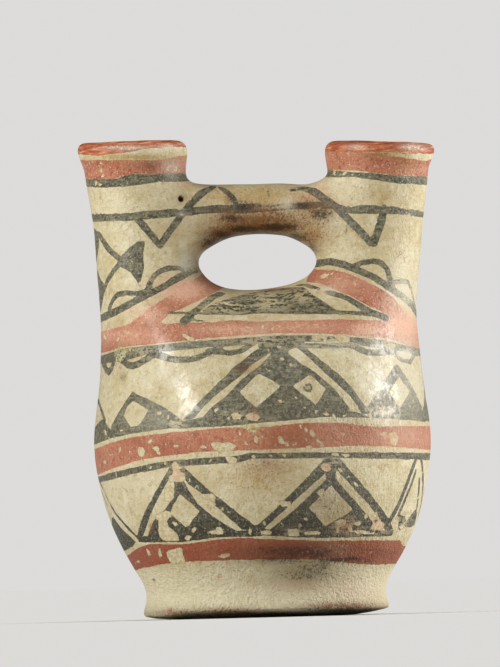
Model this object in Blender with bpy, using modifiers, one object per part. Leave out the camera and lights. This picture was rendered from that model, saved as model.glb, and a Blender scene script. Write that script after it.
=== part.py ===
"""A hand-built clay pot with two necks and a bridge handle between them.

The pot is one solid of fired clay: a round belly on a low foot, a domed shoulder that parts into two
necks, and a thick bar of clay that bridges the necks and serves as the handle. It is hollow, with one
chamber under both mouths. Sizes are in metres, +Z is up, the origin is the middle of the underside, and
the front faces -Y, so that the necks stand left (-X) and right (+X).

The form is a cage of rings that a Subdivision Surface rounds. The rings where the body parts into the
necks are faired, as a potter smooths the wet joint, and the cage is then opened a little, so that the
rounded skin runs through the sizes that are named here.
"""

import math

import bmesh
import bpy
import numpy as np

# Foot and belly, measured on the outside
FOOT_RADIUS = 0.0738
FOOT_ROUNDING = 0.0050
FOOT_NECK_RADIUS = 0.0716
FOOT_NECK_HEIGHT = 0.0160
BELLY_RADIUS = 0.1017
BELLY_HEIGHT = 0.1070

# Shoulder: the waist under the necks, and the saddle between them
WAIST_HALF_WIDTH = 0.0953
WAIST_HEIGHT = 0.1740
SADDLE_HEIGHT = 0.1980
SADDLE_HALF_DEPTH = 0.0600
SHOULDER_FULLNESS = 0.15

# Necks, measured on the outside, with their axes leaning away from each other
NECK_RADIUS = 0.0312
NECK_SPREAD = 0.0664
NECK_LEVEL = 0.2155
THROAT_RADIUS = 0.0308
LIP_RADIUS = 0.0330
LIP_CREST_RADIUS = 0.0288
LIP_BORE_RADIUS = 0.0253
LIP_HEIGHT = 0.0160
MOUTH_SPREAD = 0.0740
LEFT_MOUTH_HEIGHT = 0.2880
RIGHT_MOUTH_HEIGHT = 0.2850
LEFT_MOUTH_TILT = math.radians(0.0)
RIGHT_MOUTH_TILT = math.radians(3.0)

# The lip's roll, as shares of its height below the crest
LIP_WIDEST = 0.42
LIP_TURN = 0.12
LIP_INNER_EDGE = 0.16

# Bridge handle, and how square its section and the finger gap's outline are: 2 is an ellipse
HANDLE_TOP = 0.2600
HANDLE_THICKNESS = 0.0300
HANDLE_DEPTH = 0.0330
HANDLE_FLARE = 0.0040
HANDLE_FILLET = 0.0025
HANDLE_SQUARENESS = 2.35
GAP_TOP_SQUARENESS = 2.2
GAP_BOTTOM_SQUARENESS = 2.5

# Thickness of the clay
WALL = 0.0065
FLOOR = 0.0090
FLOOR_ROUNDING = 0.0060

# How many points lie around a quarter of the belly and on each side of the saddle's middle, and the
# counts that follow: a neck's ring is half of the belly's and the saddle's line, and the handle starts
# in an opening that is as wide as that line and two bands high
QUARTER_COUNT = 6
SADDLE_SIDE_COUNT = 2
BELLY_COUNT = 4 * QUARTER_COUNT
HALF_RING_COUNT = 2 * QUARTER_COUNT + 1
SADDLE_COUNT = 2 * SADDLE_SIDE_COUNT + 1
NECK_COUNT = HALF_RING_COUNT + SADDLE_COUNT
HANDLE_COUNT = 2 * SADDLE_COUNT + 2
OUTER_COLUMN = QUARTER_COUNT
INNER_COLUMN = HALF_RING_COUNT + SADDLE_SIDE_COUNT
ACROSS_HANDLE = range(HALF_RING_COUNT, NECK_COUNT)

# Where the rings lie, as shares of the way: up the lower and the upper body, and along the handle
OUTER_LOWER_RINGS = (0.0, 0.15, 0.34, 0.56, 0.78, 1.0)
OUTER_UPPER_RINGS = (0.28, 0.54, 0.78)
INNER_LOWER_RINGS = (0.12, 0.34, 0.62, 1.0)
INNER_UPPER_RINGS = (0.40, 0.75)
HANDLE_RINGS = (-0.80, -0.42, 0.0, 0.42, 0.80)
OUTER_ROOT_RINGS = 4
INNER_ROOT_RINGS = 3

# The swelling from the foot's neck to the belly and the fall from there to the waist, as pairs of
# shares: of the way up, and of the change in radius
LOWER_FLANK = ((0.0, 0.0), (0.15, 0.22), (0.29, 0.47), (0.48, 0.71), (0.70, 0.90), (1.0, 1.0))
UPPER_FLANK = ((0.0, 0.0), (0.20, 0.22), (0.40, 0.53), (0.65, 0.80), (1.0, 1.0))


def through(points, at):
    """Reads a smooth curve through (place, value) points, with slopes from each point's neighbours."""
    places, values = (np.array(column, float) for column in zip(*points))
    slopes = np.gradient(values, places)
    slopes[0] = slopes[-1] = 0.0
    i = int(np.clip(np.searchsorted(places, at) - 1, 0, len(places) - 2))
    step = places[i + 1] - places[i]
    share = float(np.clip((at - places[i]) / step, 0.0, 1.0))
    return hermite(values[i], step * slopes[i], values[i + 1], step * slopes[i + 1], share)


def hermite(start, start_slope, end, end_slope, s):
    """A point at share s of the cubic that leaves start along its slope and arrives at end along its own."""
    return (
        (2 * s**3 - 3 * s**2 + 1) * start
        + (s**3 - 2 * s**2 + s) * start_slope
        + (3 * s**2 - 2 * s**3) * end
        + (s**3 - s**2) * end_slope
    )


def rounded(value, power):
    """A cosine or sine raised to a power with its sign kept, for squarer ellipses."""
    return math.copysign(abs(value) ** power, value)


def half_width(z):
    """Half of the body's width at a height, from the foot's neck up to the waist."""
    if z < BELLY_HEIGHT:
        share = (z - FOOT_NECK_HEIGHT) / (BELLY_HEIGHT - FOOT_NECK_HEIGHT)
        return FOOT_NECK_RADIUS + (BELLY_RADIUS - FOOT_NECK_RADIUS) * through(LOWER_FLANK, share)
    share = (z - BELLY_HEIGHT) / (WAIST_HEIGHT - BELLY_HEIGHT)
    return BELLY_RADIUS + (WAIST_HALF_WIDTH - BELLY_RADIUS) * through(UPPER_FLANK, share)


def half_depth(z, inset):
    """Half of the body's depth at a height: round up to the belly, then a dome that closes at the saddle."""
    if z < BELLY_HEIGHT:
        return half_width(z) - inset
    rise = (z - BELLY_HEIGHT) / (SADDLE_HEIGHT - inset - BELLY_HEIGHT)
    return (BELLY_RADIUS - inset) * math.sqrt(max(0.0, 1.0 - rise**2))


def dome_height(y, inset):
    """The dome's height over the middle of the pot, at a depth of y."""
    share = y / (BELLY_RADIUS - inset)
    return BELLY_HEIGHT + (SADDLE_HEIGHT - inset - BELLY_HEIGHT) * math.sqrt(1.0 - share**2)


def split_height(inset):
    """The height where the dome has narrowed to the saddle's depth and the body parts into two necks."""
    return dome_height(SADDLE_HALF_DEPTH - inset, inset)


def unit_ring():
    """The directions of the body's columns, from the front round by the left."""
    turns = [-math.pi / 2 - 2 * math.pi * i / BELLY_COUNT for i in range(BELLY_COUNT)]
    return [np.array((math.cos(turn), math.sin(turn), 0.0)) for turn in turns]


def round_ring(radius, z):
    return [direction * radius + np.array((0.0, 0.0, z)) for direction in unit_ring()]


def body_ring(z, inset):
    """The body's section at a height: an ellipse that grows squarer as it nears the necks."""
    nearness = max(0.0, (z - BELLY_HEIGHT) / (split_height(inset) - BELLY_HEIGHT))
    power = 2.0 / (2.0 + SHOULDER_FULLNESS * nearness**3)
    width, depth = half_width(z) - inset, half_depth(z, inset)
    return [
        np.array((width * rounded(cosine, power), depth * rounded(sine, power), z))
        for cosine, sine, _ in unit_ring()
    ]


def saddle_line(inset):
    """The points between the necks, over the dome's top from the back to the front."""
    depth = SADDLE_HALF_DEPTH - inset
    places = [depth * (1.0 - 2.0 * i / (SADDLE_COUNT + 1)) for i in range(1, SADDLE_COUNT + 1)]
    return [np.array((0.0, y, dome_height(y, inset))) for y in places]


def neck_ring(side, mouth_height, tilt, z, radius):
    """A round ring of a neck. side is -1 on the left; the ring leans out by more of tilt near the mouth."""
    rise = (z - NECK_LEVEL) / (mouth_height - NECK_LEVEL)
    centre = NECK_SPREAD + (MOUTH_SPREAD - NECK_SPREAD) * rise
    lean = math.tan(tilt) * max(0.0, rise) ** 2
    ring = []
    for column in range(NECK_COUNT):
        turn = 2 * math.pi * (column - OUTER_COLUMN) / NECK_COUNT
        outward, forward = radius * math.cos(turn), radius * math.sin(turn)
        ring.append(np.array((side * (centre + outward), forward, z - outward * lean)))
    return ring


def gap_floor(side, inset, share):
    """A point of the finger gap's lower edge, from the saddle's middle up to the neck's inner side."""
    turn = share * math.pi / 2
    power = 2.0 / GAP_BOTTOM_SQUARENESS
    reach = NECK_SPREAD - NECK_RADIUS + inset
    drop = NECK_LEVEL - SADDLE_HEIGHT + inset
    return np.array((
        side * reach * math.sin(turn) ** power,
        0.0,
        NECK_LEVEL - drop * math.cos(turn) ** power,
    ))


def root_rings(side, inset, first, second, count):
    """The rings of a neck's root, from the split body's half and the saddle's line up to the neck's first.

    Each point runs on a cubic that leaves up the body outside and level across the saddle. The column in
    the middle of the gap keeps to the gap's outline.
    """
    z = split_height(inset)
    step = 0.002
    reach = NECK_SPREAD - NECK_RADIUS + inset
    mirror = np.array((-side, 1.0, 1.0))
    start = [point * mirror for point in body_ring(z, inset)[:HALF_RING_COUNT] + saddle_line(inset)]
    below = [point * mirror for point in body_ring(z - step, inset)[:HALF_RING_COUNT]]
    level = np.array((side * 2 * reach, 0.0, 0.0))
    slopes = [(p - q) / step * (NECK_LEVEL - z) for p, q in zip(start, below)] + [level] * SADDLE_COUNT
    rise = (NECK_LEVEL - z) / (second[0][2] - first[0][2])
    rings = []
    for i in range(1, count + 1):
        share = i / (count + 1)
        ring = [
            hermite(start[c], slopes[c], first[c], (second[c] - first[c]) * rise, share)
            for c in range(NECK_COUNT)
        ]
        ring[INNER_COLUMN] = gap_floor(side, inset, share)
        rings.append(ring)
    return rings


def handle_ring(x):
    """The handle's section at x: a round bar that thickens downwards and sideways towards the necks."""
    nearness = abs(x) / (NECK_SPREAD - NECK_RADIUS)
    top = HANDLE_TOP + HANDLE_FILLET * nearness**6
    gap_rise = HANDLE_TOP - HANDLE_THICKNESS - NECK_LEVEL
    bottom = NECK_LEVEL + gap_rise * (1.0 - nearness**GAP_TOP_SQUARENESS) ** (1.0 / GAP_TOP_SQUARENESS)
    depth = HANDLE_DEPTH / 2 + HANDLE_FLARE * nearness**3
    power = 2.0 / HANDLE_SQUARENESS
    ring = []
    for i in range(1, HANDLE_COUNT + 1):
        turn = 2 * math.pi * i / HANDLE_COUNT
        y = depth * rounded(math.cos(turn), power)
        z = (top + bottom) / 2 + (top - bottom) / 2 * rounded(math.sin(turn), power)
        ring.append(np.array((x, y, z)))
    return ring


def lip_stations(mouth_height):
    """The outside of a neck from the gap to the crest of its lip, as (height, radius)."""
    return [
        (NECK_LEVEL, NECK_RADIUS),
        ((NECK_LEVEL + HANDLE_TOP) / 2, NECK_RADIUS),
        (HANDLE_TOP + HANDLE_FILLET, (NECK_RADIUS + THROAT_RADIUS) / 2),
        (mouth_height - LIP_HEIGHT, THROAT_RADIUS),
        (mouth_height - LIP_HEIGHT * LIP_WIDEST, LIP_RADIUS),
        (mouth_height - LIP_HEIGHT * LIP_TURN, (3 * LIP_RADIUS + LIP_CREST_RADIUS) / 4),
        (mouth_height, LIP_CREST_RADIUS),
    ]


def bore_stations(mouth_height):
    """The inside of a neck, from the gap to the inner edge of the lip."""
    return [
        (NECK_LEVEL, NECK_RADIUS - WALL),
        ((NECK_LEVEL + mouth_height - LIP_HEIGHT) / 2, NECK_RADIUS - WALL),
        (mouth_height - LIP_HEIGHT, THROAT_RADIUS - WALL),
        (mouth_height - LIP_HEIGHT * LIP_INNER_EDGE, LIP_BORE_RADIUS),
    ]


def add_ring(cage, points):
    return [cage.verts.new(point) for point in points]


def join_rings(cage, lower, upper, left_open=()):
    """A band of quads between two rings, without the columns that are left open."""
    count = len(lower)
    for i in range(count):
        if i not in left_open:
            cage.faces.new((lower[i], lower[(i + 1) % count], upper[(i + 1) % count], upper[i]))


def join_stack(cage, rings):
    for lower, upper in zip(rings, rings[1:]):
        join_rings(cage, lower, upper)


def close_disc(cage, rim, radius, z):
    """A flat disc inside a round rim: one narrower ring and a fan."""
    inner = add_ring(cage, round_ring(radius, z))
    join_rings(cage, rim, inner)
    middle = cage.verts.new((0.0, 0.0, z))
    for i in range(BELLY_COUNT):
        cage.faces.new((inner[i], inner[(i + 1) % BELLY_COUNT], middle))


def add_body(cage, first_rings, lower_shares, upper_shares, inset):
    """A skin of the body from its first rings up to the split. Returns all its rings."""
    below = BELLY_HEIGHT - FOOT_NECK_HEIGHT
    above = split_height(inset) - BELLY_HEIGHT
    heights = [FOOT_NECK_HEIGHT + below * share for share in lower_shares]
    heights += [BELLY_HEIGHT + above * share for share in (*upper_shares, 1.0)]
    rings = [add_ring(cage, points) for points in first_rings]
    rings += [add_ring(cage, body_ring(z, inset)) for z in heights]
    join_stack(cage, rings)
    return rings


def add_neck(cage, side, split, saddle, root, stations, handle_rows=()):
    """A skin of one neck on its half of the split and the saddle, without the handle's opening.

    Returns the root's rings and the neck's.
    """
    half = split[:HALF_RING_COUNT] if side < 0 else [split[-i] for i in range(HALF_RING_COUNT)]
    lower = [add_ring(cage, points) for points in root]
    upper = [add_ring(cage, points) for points in stations]
    join_stack(cage, [half + saddle, *lower, upper[0]])
    for i in range(len(upper) - 1):
        left_open = ACROSS_HANDLE[:-1] if i in handle_rows else ()
        join_rings(cage, upper[i], upper[i + 1], left_open)
    return lower, upper


def handle_opening(rings):
    """The edge of the opening in a neck where the handle starts, from the back over the top."""
    bottom, middle, top = rings[:3]
    edge = [top[column] for column in ACROSS_HANDLE]
    edge.append(middle[ACROSS_HANDLE[-1]])
    edge += [bottom[column] for column in reversed(ACROSS_HANDLE)]
    edge.append(middle[ACROSS_HANDLE[0]])
    return edge


def fair(cage, free):
    """Moves the free points to where the skin bends least between the points that stay.

    Each point is compared with the mean of its neighbours, of which the near ones count for more, and
    the sum of the squares of what they differ by is made as small as it can be.
    """
    cage.verts.index_update()
    places = np.array([vert.co for vert in cage.verts])
    pull = np.zeros((len(places), len(places)))
    for edge in cage.edges:
        a, b = (vert.index for vert in edge.verts)
        pull[a, b] = pull[b, a] = 1.0 / edge.calc_length()
    bend = np.eye(len(places)) - pull / pull.sum(axis=1, keepdims=True)
    moves = np.zeros(len(places), bool)
    moves[[vert.index for vert in free]] = True
    settled = -bend[:, ~moves] @ places[~moves]
    places[moves] = np.linalg.lstsq(bend[:, moves], settled, rcond=None)[0]
    for vert, place in zip(cage.verts, places):
        vert.co = place


def build_cage():
    """The whole pot as a closed cage: the outer skin with the handle, the lips and the inner skin."""
    cage = bmesh.new()
    foot = [round_ring(FOOT_RADIUS - FOOT_ROUNDING, 0.0), round_ring(FOOT_RADIUS, FOOT_ROUNDING)]
    outer = add_body(cage, foot, OUTER_LOWER_RINGS, OUTER_UPPER_RINGS, 0.0)
    close_disc(cage, outer[0], FOOT_RADIUS / 2, 0.0)
    outer_saddle = add_ring(cage, saddle_line(0.0))

    well = [round_ring(FOOT_NECK_RADIUS - WALL - FLOOR_ROUNDING, FLOOR)]
    inner = add_body(cage, well, INNER_LOWER_RINGS, INNER_UPPER_RINGS, WALL)
    close_disc(cage, inner[0], FOOT_NECK_RADIUS / 2, FLOOR)
    inner_saddle = add_ring(cage, saddle_line(WALL))

    bars = [add_ring(cage, handle_ring((NECK_SPREAD - NECK_RADIUS) * share)) for share in HANDLE_RINGS]
    top, bottom = SADDLE_SIDE_COUNT, HANDLE_COUNT // 2 + SADDLE_SIDE_COUNT
    free = [bar[i] for bar in (bars[0], bars[-1]) for i in range(HANDLE_COUNT) if i not in (top, bottom)]
    openings = []
    for side, height, tilt in (
        (-1, LEFT_MOUTH_HEIGHT, LEFT_MOUTH_TILT),
        (1, RIGHT_MOUTH_HEIGHT, RIGHT_MOUTH_TILT),
    ):
        skins = []
        for inset, split, saddle, stations, count, handle_rows in (
            (0.0, outer[-1], outer_saddle, lip_stations(height), OUTER_ROOT_RINGS, (0, 1)),
            (WALL, inner[-1], inner_saddle, bore_stations(height), INNER_ROOT_RINGS, ()),
        ):
            rings = [neck_ring(side, height, tilt, z, radius) for z, radius in stations]
            root = root_rings(side, inset, rings[0], rings[1], count)
            lower, upper = add_neck(cage, side, split, saddle, root, rings, handle_rows)
            free += [
                vert for ring in (*lower, upper[0]) for column, vert in enumerate(ring)
                if column not in (OUTER_COLUMN, INNER_COLUMN)
            ]
            skins.append(upper)
        outside, inside = skins
        free += [outside[1][ACROSS_HANDLE[0]], outside[1][ACROSS_HANDLE[-1]]]
        join_rings(cage, outside[-1], inside[-1])
        openings.append(handle_opening(outside))
    for ring in (outer[-2], outer[-1], inner[-1]):
        free += [vert for i, vert in enumerate(ring) if i % QUARTER_COUNT]
    join_stack(cage, [openings[0], *bars, openings[1]])
    loose = [vert for vert in cage.verts if not vert.link_faces]
    bmesh.ops.delete(cage, geom=loose, context="VERTS")
    fair(cage, free)
    bmesh.ops.recalc_face_normals(cage, faces=cage.faces)
    return cage


def open_cage(pot, rounds):
    """Moves the cage's points out until the rounded skin runs through where they were placed."""
    count = len(pot.data.vertices)
    wanted = np.zeros(count * 3)
    pot.data.vertices.foreach_get("co", wanted)
    cage = wanted.copy()
    on_the_ground = wanted.reshape(-1, 3)[:, 2] < 1e-6
    for _ in range(rounds):
        skin = pot.evaluated_get(bpy.context.evaluated_depsgraph_get()).to_mesh()
        reached = np.zeros(len(skin.vertices) * 3)
        skin.vertices.foreach_get("co", reached)
        cage += wanted - reached[: count * 3]
        cage.reshape(-1, 3)[on_the_ground, 2] = 0.0
        pot.data.vertices.foreach_set("co", cage)
        pot.data.update()
        bpy.context.view_layer.update()


def fired_clay():
    """Cream slip over clay, with a thin resin varnish."""
    material = bpy.data.materials.new("fired_clay")
    material.use_nodes = True
    shader = material.node_tree.nodes["Principled BSDF"]
    shader.inputs["Base Color"].default_value = (0.62, 0.52, 0.36, 1.0)
    shader.inputs["Roughness"].default_value = 0.45
    shader.inputs["Metallic"].default_value = 0.0
    return material


for old in list(bpy.data.objects):
    bpy.data.objects.remove(old)

collection = bpy.data.collections.new("clay_pot")
bpy.context.scene.collection.children.link(collection)

mesh = bpy.data.meshes.new("pot")
cage = build_cage()
cage.to_mesh(mesh)
cage.free()
mesh.materials.append(fired_clay())
pot = bpy.data.objects.new("pot", mesh)
collection.objects.link(pot)
rounding = pot.modifiers.new("rounding", "SUBSURF")
rounding.levels = 1
rounding.render_levels = 1
bpy.context.view_layer.update()
open_cage(pot, 3)
pot.data.shade_smooth()
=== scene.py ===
"""The looks of a hand-built clay pot with two necks and a bridge handle, painted with bands, waves and
triangles over a cream slip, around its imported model.

Sizes are in metres. The pot's front faces -Y. The painted lines are laid on the pot from where the
photograph (500 x 667 pixels) shows them, so their places are pixels of that photograph, and each line is
cast from the camera onto the clay.
"""

import math

import bmesh
import bpy
import numpy as np
from mathutils import Matrix, Quaternion, Vector
from mathutils.bvhtree import BVHTree


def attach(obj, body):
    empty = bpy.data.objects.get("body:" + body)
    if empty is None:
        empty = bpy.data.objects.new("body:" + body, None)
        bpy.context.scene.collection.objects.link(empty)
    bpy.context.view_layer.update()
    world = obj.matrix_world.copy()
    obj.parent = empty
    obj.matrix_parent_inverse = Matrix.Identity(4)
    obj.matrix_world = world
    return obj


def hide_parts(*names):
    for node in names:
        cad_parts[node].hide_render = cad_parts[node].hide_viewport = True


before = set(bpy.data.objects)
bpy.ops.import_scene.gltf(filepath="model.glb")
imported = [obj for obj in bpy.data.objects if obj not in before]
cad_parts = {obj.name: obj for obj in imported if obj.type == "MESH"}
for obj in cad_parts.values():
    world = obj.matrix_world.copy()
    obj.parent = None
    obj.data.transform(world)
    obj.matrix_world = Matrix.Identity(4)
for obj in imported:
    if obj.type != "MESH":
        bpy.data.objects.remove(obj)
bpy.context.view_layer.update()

# The view. The photograph was taken from far away and from just above the table, so that the lips show a
# little from below, and its frame leans: the pot seems to tip to the left by a degree and a half.
PHOTO_WIDTH, PHOTO_HEIGHT = 500, 667
PIXEL_SIZE = 0.0006
VIEW_CENTRE = Vector((-0.0057, 0.0, 0.1703))
VIEW_DISTANCE = 9.0
VIEW_ELEVATION = math.radians(-0.93)
VIEW_ROLL = math.radians(-1.5)

outward = Vector((0.0, -math.cos(VIEW_ELEVATION), math.sin(VIEW_ELEVATION)))
viewpoint = VIEW_CENTRE + VIEW_DISTANCE * outward
camera = bpy.data.objects.new("photographer", bpy.data.cameras.new("photographer"))
camera.matrix_world = (
    Matrix.Translation(viewpoint)
    @ Matrix.Rotation(math.pi / 2 - VIEW_ELEVATION, 4, "X")
    @ Matrix.Rotation(VIEW_ROLL, 4, "Z")
)
camera.data.sensor_fit = "HORIZONTAL"
camera.data.sensor_width = 36.0
camera.data.lens = camera.data.sensor_width * VIEW_DISTANCE / (PIXEL_SIZE * PHOTO_WIDTH)
camera.data.clip_start = 1.0
camera.data.clip_end = 100.0
bpy.context.scene.collection.objects.link(camera)
bpy.context.scene.camera = camera

turned = camera.matrix_world.to_3x3()
RIGHTWARD, UPWARD, BACKWARD = (np.array(turned.col[axis]) for axis in range(3))
PIXELS_PER_SLOPE = VIEW_DISTANCE / PIXEL_SIZE


def photo_place(points):
    """The pixels where the photograph shows points: their offsets across and up, over their depth."""
    offset = points - np.array(viewpoint)
    depth = -offset @ BACKWARD
    across = PHOTO_WIDTH / 2 + PIXELS_PER_SLOPE * (offset @ RIGHTWARD) / depth
    down = PHOTO_HEIGHT / 2 - PIXELS_PER_SLOPE * (offset @ UPWARD) / depth
    return np.stack((across, down), axis=1)


def sight_line(across, down):
    """The direction from the camera through a pixel."""
    slope = (across - PHOTO_WIDTH / 2) * RIGHTWARD - (down - PHOTO_HEIGHT / 2) * UPWARD
    return Vector(slope / PIXELS_PER_SLOPE - BACKWARD).normalized()


# The pot's clay: one hollow body of fired clay, coiled and smoothed by hand, so that it is a little
# uneven. Its mesh is the imported model's own, rounded once more, with a finer skin where the front is
# painted.
MERGE_DISTANCE = 0.00001
JOIN_FACE_ANGLE = 0.7
JOIN_SHAPE_ANGLE = 1.2
BODY_MIDDLE = np.array((0.0, 0.0, 0.100))
ROOT_LEVEL = 0.175
ROOT_INNER_REACH = 0.030
NECK_AXIS_LEVEL = 0.2155
NECK_AXIS_SPREAD = 0.0664
NECK_AXIS_LEAN = 0.105
NECK_AXIS_SLACK = 0.004
HANDLE_LEVEL = 0.200
GAP_HALF_WIDTH = 0.0352
UNDERSIDE_LEVEL = 0.0015
UPPER_LEVEL = 0.194
FRONT_REACH = -0.020
SKIN_CUTS = (("front", 3), ("back", 2), ("upper", 1))
SMOOTHING_ROUNDS = 12
SMOOTHING_SHARE = 0.5
SMOOTHING_RETURN = -0.52
NAIL_HOLE = (181.3, 198.7)
NAIL_HOLE_RADIUS = 0.0019
NAIL_HOLE_FRAME = 0.0055
NAIL_HOLE_CUTS = 3


def on_outside(points, normals):
    """True on the pot's outer skin: where the normal leaves the belly's middle or a neck's axis."""
    x, y, z = points.T
    from_middle = np.sum((points - BODY_MIDDLE) * normals, axis=1) > 0.0
    axis_x = np.sign(x) * (NECK_AXIS_SPREAD + NECK_AXIS_LEAN * (z - NECK_AXIS_LEVEL))
    from_axis = (x - axis_x) * normals[:, 0] + y * normals[:, 1] > -NECK_AXIS_SLACK
    neck = (z > ROOT_LEVEL) & (np.abs(x) > ROOT_INNER_REACH)
    handle = (z > HANDLE_LEVEL) & (np.abs(x) < GAP_HALF_WIDTH)
    return handle | np.where(neck, from_axis, from_middle)


def mesh_arrays(mesh):
    """A mesh's points and their normals, each as an array of rows."""
    points = np.empty(3 * len(mesh.vertices))
    mesh.vertices.foreach_get("co", points)
    normals = np.empty(3 * len(mesh.vertices))
    mesh.vertex_normals.foreach_get("vector", normals)
    return points.reshape(-1, 3), normals.reshape(-1, 3)


def mesh_edges(mesh):
    """The mesh's edges as rows of two point numbers."""
    edges = np.empty(2 * len(mesh.edges), dtype=np.int32)
    mesh.edges.foreach_get("vertices", edges)
    return edges.reshape(-1, 2)


def rounded_copy(source):
    """A merged copy of a node's mesh with its quads restored, rounded by one Catmull-Clark step."""
    shell = bmesh.new()
    shell.from_mesh(source)
    bmesh.ops.remove_doubles(shell, verts=shell.verts, dist=MERGE_DISTANCE)
    bmesh.ops.join_triangles(
        shell, faces=shell.faces,
        angle_face_threshold=JOIN_FACE_ANGLE, angle_shape_threshold=JOIN_SHAPE_ANGLE)
    merged = bpy.data.meshes.new("merged")
    shell.to_mesh(merged)
    shell.free()
    holder = bpy.data.objects.new("merged", merged)
    bpy.context.scene.collection.objects.link(holder)
    rounding = holder.modifiers.new("rounding", "SUBSURF")
    rounding.levels = rounding.render_levels = 1
    graph = bpy.context.evaluated_depsgraph_get()
    rounded = bpy.data.meshes.new_from_object(holder.evaluated_get(graph))
    bpy.data.objects.remove(holder)
    bpy.data.meshes.remove(merged)
    return rounded


def refine(mesh, wanted, cuts):
    """Cuts the edges whose two ends are wanted, and what they bound, into cuts + 1 even parts."""
    shell = bmesh.new()
    shell.from_mesh(mesh)
    shell.verts.ensure_lookup_table()
    edges = [edge for edge in shell.edges if wanted[edge.verts[0].index] and wanted[edge.verts[1].index]]
    bmesh.ops.subdivide_edges(shell, edges=edges, cuts=cuts, use_grid_fill=True)
    bmesh.ops.triangulate(shell, faces=[face for face in shell.faces if len(face.verts) > 4])
    shell.to_mesh(mesh)
    shell.free()


def in_region(mesh, region):
    """True on the points of the outer skin that lie in its front, back or upper region."""
    points, normals = mesh_arrays(mesh)
    upper = points[:, 2] > UPPER_LEVEL
    front = points[:, 1] < FRONT_REACH
    regions = {"front": front & ~upper, "back": ~front & ~upper, "upper": upper}
    return regions[region] & on_outside(points, normals) & (points[:, 2] > UNDERSIDE_LEVEL)


def smoothed(points, edges):
    """Evens a mesh: each round moves points towards their neighbours' mean and then slightly more back."""
    count = np.bincount(edges.ravel(), minlength=len(points))[:, None]
    for _ in range(SMOOTHING_ROUNDS):
        for share in (SMOOTHING_SHARE, SMOOTHING_RETURN):
            total = np.stack([
                np.bincount(edges[:, 0], points[edges[:, 1], axis], len(points))
                + np.bincount(edges[:, 1], points[edges[:, 0], axis], len(points))
                for axis in range(3)
            ], axis=1)
            points = points + share * (total / count - points)
    return points


def eased(values, low, high):
    """A smooth step from 0 at the low value to 1 at the high one."""
    share = np.clip((values - low) / (high - low), 0.0, 1.0)
    return share * share * (3.0 - 2.0 * share)


def bell(values, middle, reach):
    """A bell curve: 1 in the middle, and about a third of that at its reach."""
    return np.exp(-((values - middle) / reach) ** 2)


# What the maker's hands left out of true. Each press has its metres across and up and the windows in which
# it acts, along x, along z or outwards from the pot's axis. An eased window opens from its first value to
# its second, and a bell has a middle and a reach.
PRESSES = (
    # The right neck leans out.
    (0.0018, 0.0, ("x", eased, 0.025, 0.045), ("z", eased, 0.232, 0.278)),
    # Each neck's outer side is drawn in where it meets the waist.
    (0.0016, 0.0, ("x", eased, -0.062, -0.100), ("z", bell, 0.236, 0.022)),
    (-0.0010, 0.0, ("x", eased, 0.062, 0.100), ("z", bell, 0.185, 0.022)),
    # Both necks end a little low, the right one more.
    (0.0, -0.0020, ("x", eased, 0.025, 0.045), ("z", eased, 0.264, 0.284)),
    (0.0, -0.0010, ("x", eased, -0.025, -0.045), ("z", eased, 0.264, 0.284)),
    # The finger gap sags to the left and narrows in its upper corners.
    (0.0, -0.0020, ("x", bell, -0.011, 0.027), ("z", bell, 0.198, 0.009)),
    (0.0, -0.0021, ("x", bell, -0.0265, 0.010), ("z", bell, 0.2255, 0.007)),
    (0.0, -0.0014, ("x", bell, 0.027, 0.008), ("z", bell, 0.2255, 0.007)),
    # The handle dips where it meets the right neck.
    (0.0, -0.0016, ("x", bell, 0.031, 0.010), ("z", eased, 0.248, 0.258), ("z", eased, 0.274, 0.266)),
    # The foot's rim stands clear of the floor but for its left end.
    (0.0, 0.0018, ("x", eased, -0.066, -0.040), ("out", eased, 0.056, 0.068), ("z", bell, 0.0, 0.007)),
)


def pressed(points):
    """Points moved by the presses: each one's way times the product of its windows."""
    x, y, z = points.T
    measures = {"x": x, "z": z, "out": np.hypot(x, y)}
    moved = points.copy()
    for across, up, *windows in PRESSES:
        share = np.prod([form(measures[along], *span) for along, form, *span in windows], axis=0)
        moved += share[:, None] * (across, 0.0, up)
    return moved


pot_mesh = rounded_copy(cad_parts["pot"].data)
pot_mesh.name = "painted_pot"
as_built, _ = mesh_arrays(pot_mesh)
pot_mesh.vertices.foreach_set("co", pressed(as_built).astype(np.float32).ravel())
pot_mesh.update()
faces = [tuple(face.vertices) for face in pot_mesh.polygons]
clay = BVHTree.FromPolygons([vertex.co for vertex in pot_mesh.vertices], faces)
nail_hole = np.array(clay.ray_cast(viewpoint, sight_line(*NAIL_HOLE))[0])

for region, cuts in SKIN_CUTS:
    refine(pot_mesh, in_region(pot_mesh, region), cuts)
places, _ = mesh_arrays(pot_mesh)
refine(pot_mesh, np.linalg.norm(places - nail_hole, axis=1) < NAIL_HOLE_FRAME, NAIL_HOLE_CUTS)
places, normals = mesh_arrays(pot_mesh)
outer = on_outside(places, normals)
places = np.where(outer[:, None], smoothed(places, mesh_edges(pot_mesh)), places)

# The painting. It was brushed on before firing: black and red over a cream slip, in bands around the pot
# with waves, loops and stepped triangles between them. How far inside a painted form each point lies is
# kept in mm, in one channel for each kind of form. The back is painted as the front is. Widths and swells
# are shares or mm, and steps and margins are pixels.
FAR = -6.0
MM = 1000.0
TRACE_STEP = 2.5
TRACE_MARGIN = 16.0
BRUSH_SWELL = 1.15
CHANNELS = ("rings", "strokes", "fills", "red", "lip", "worn", "crust", "hole")

painted_at = np.stack((places[:, 0], -np.abs(places[:, 1]), places[:, 2]), axis=1)
seen = photo_place(painted_at)
channels = {name: np.full(len(places), FAR) for name in CHANNELS}


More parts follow.
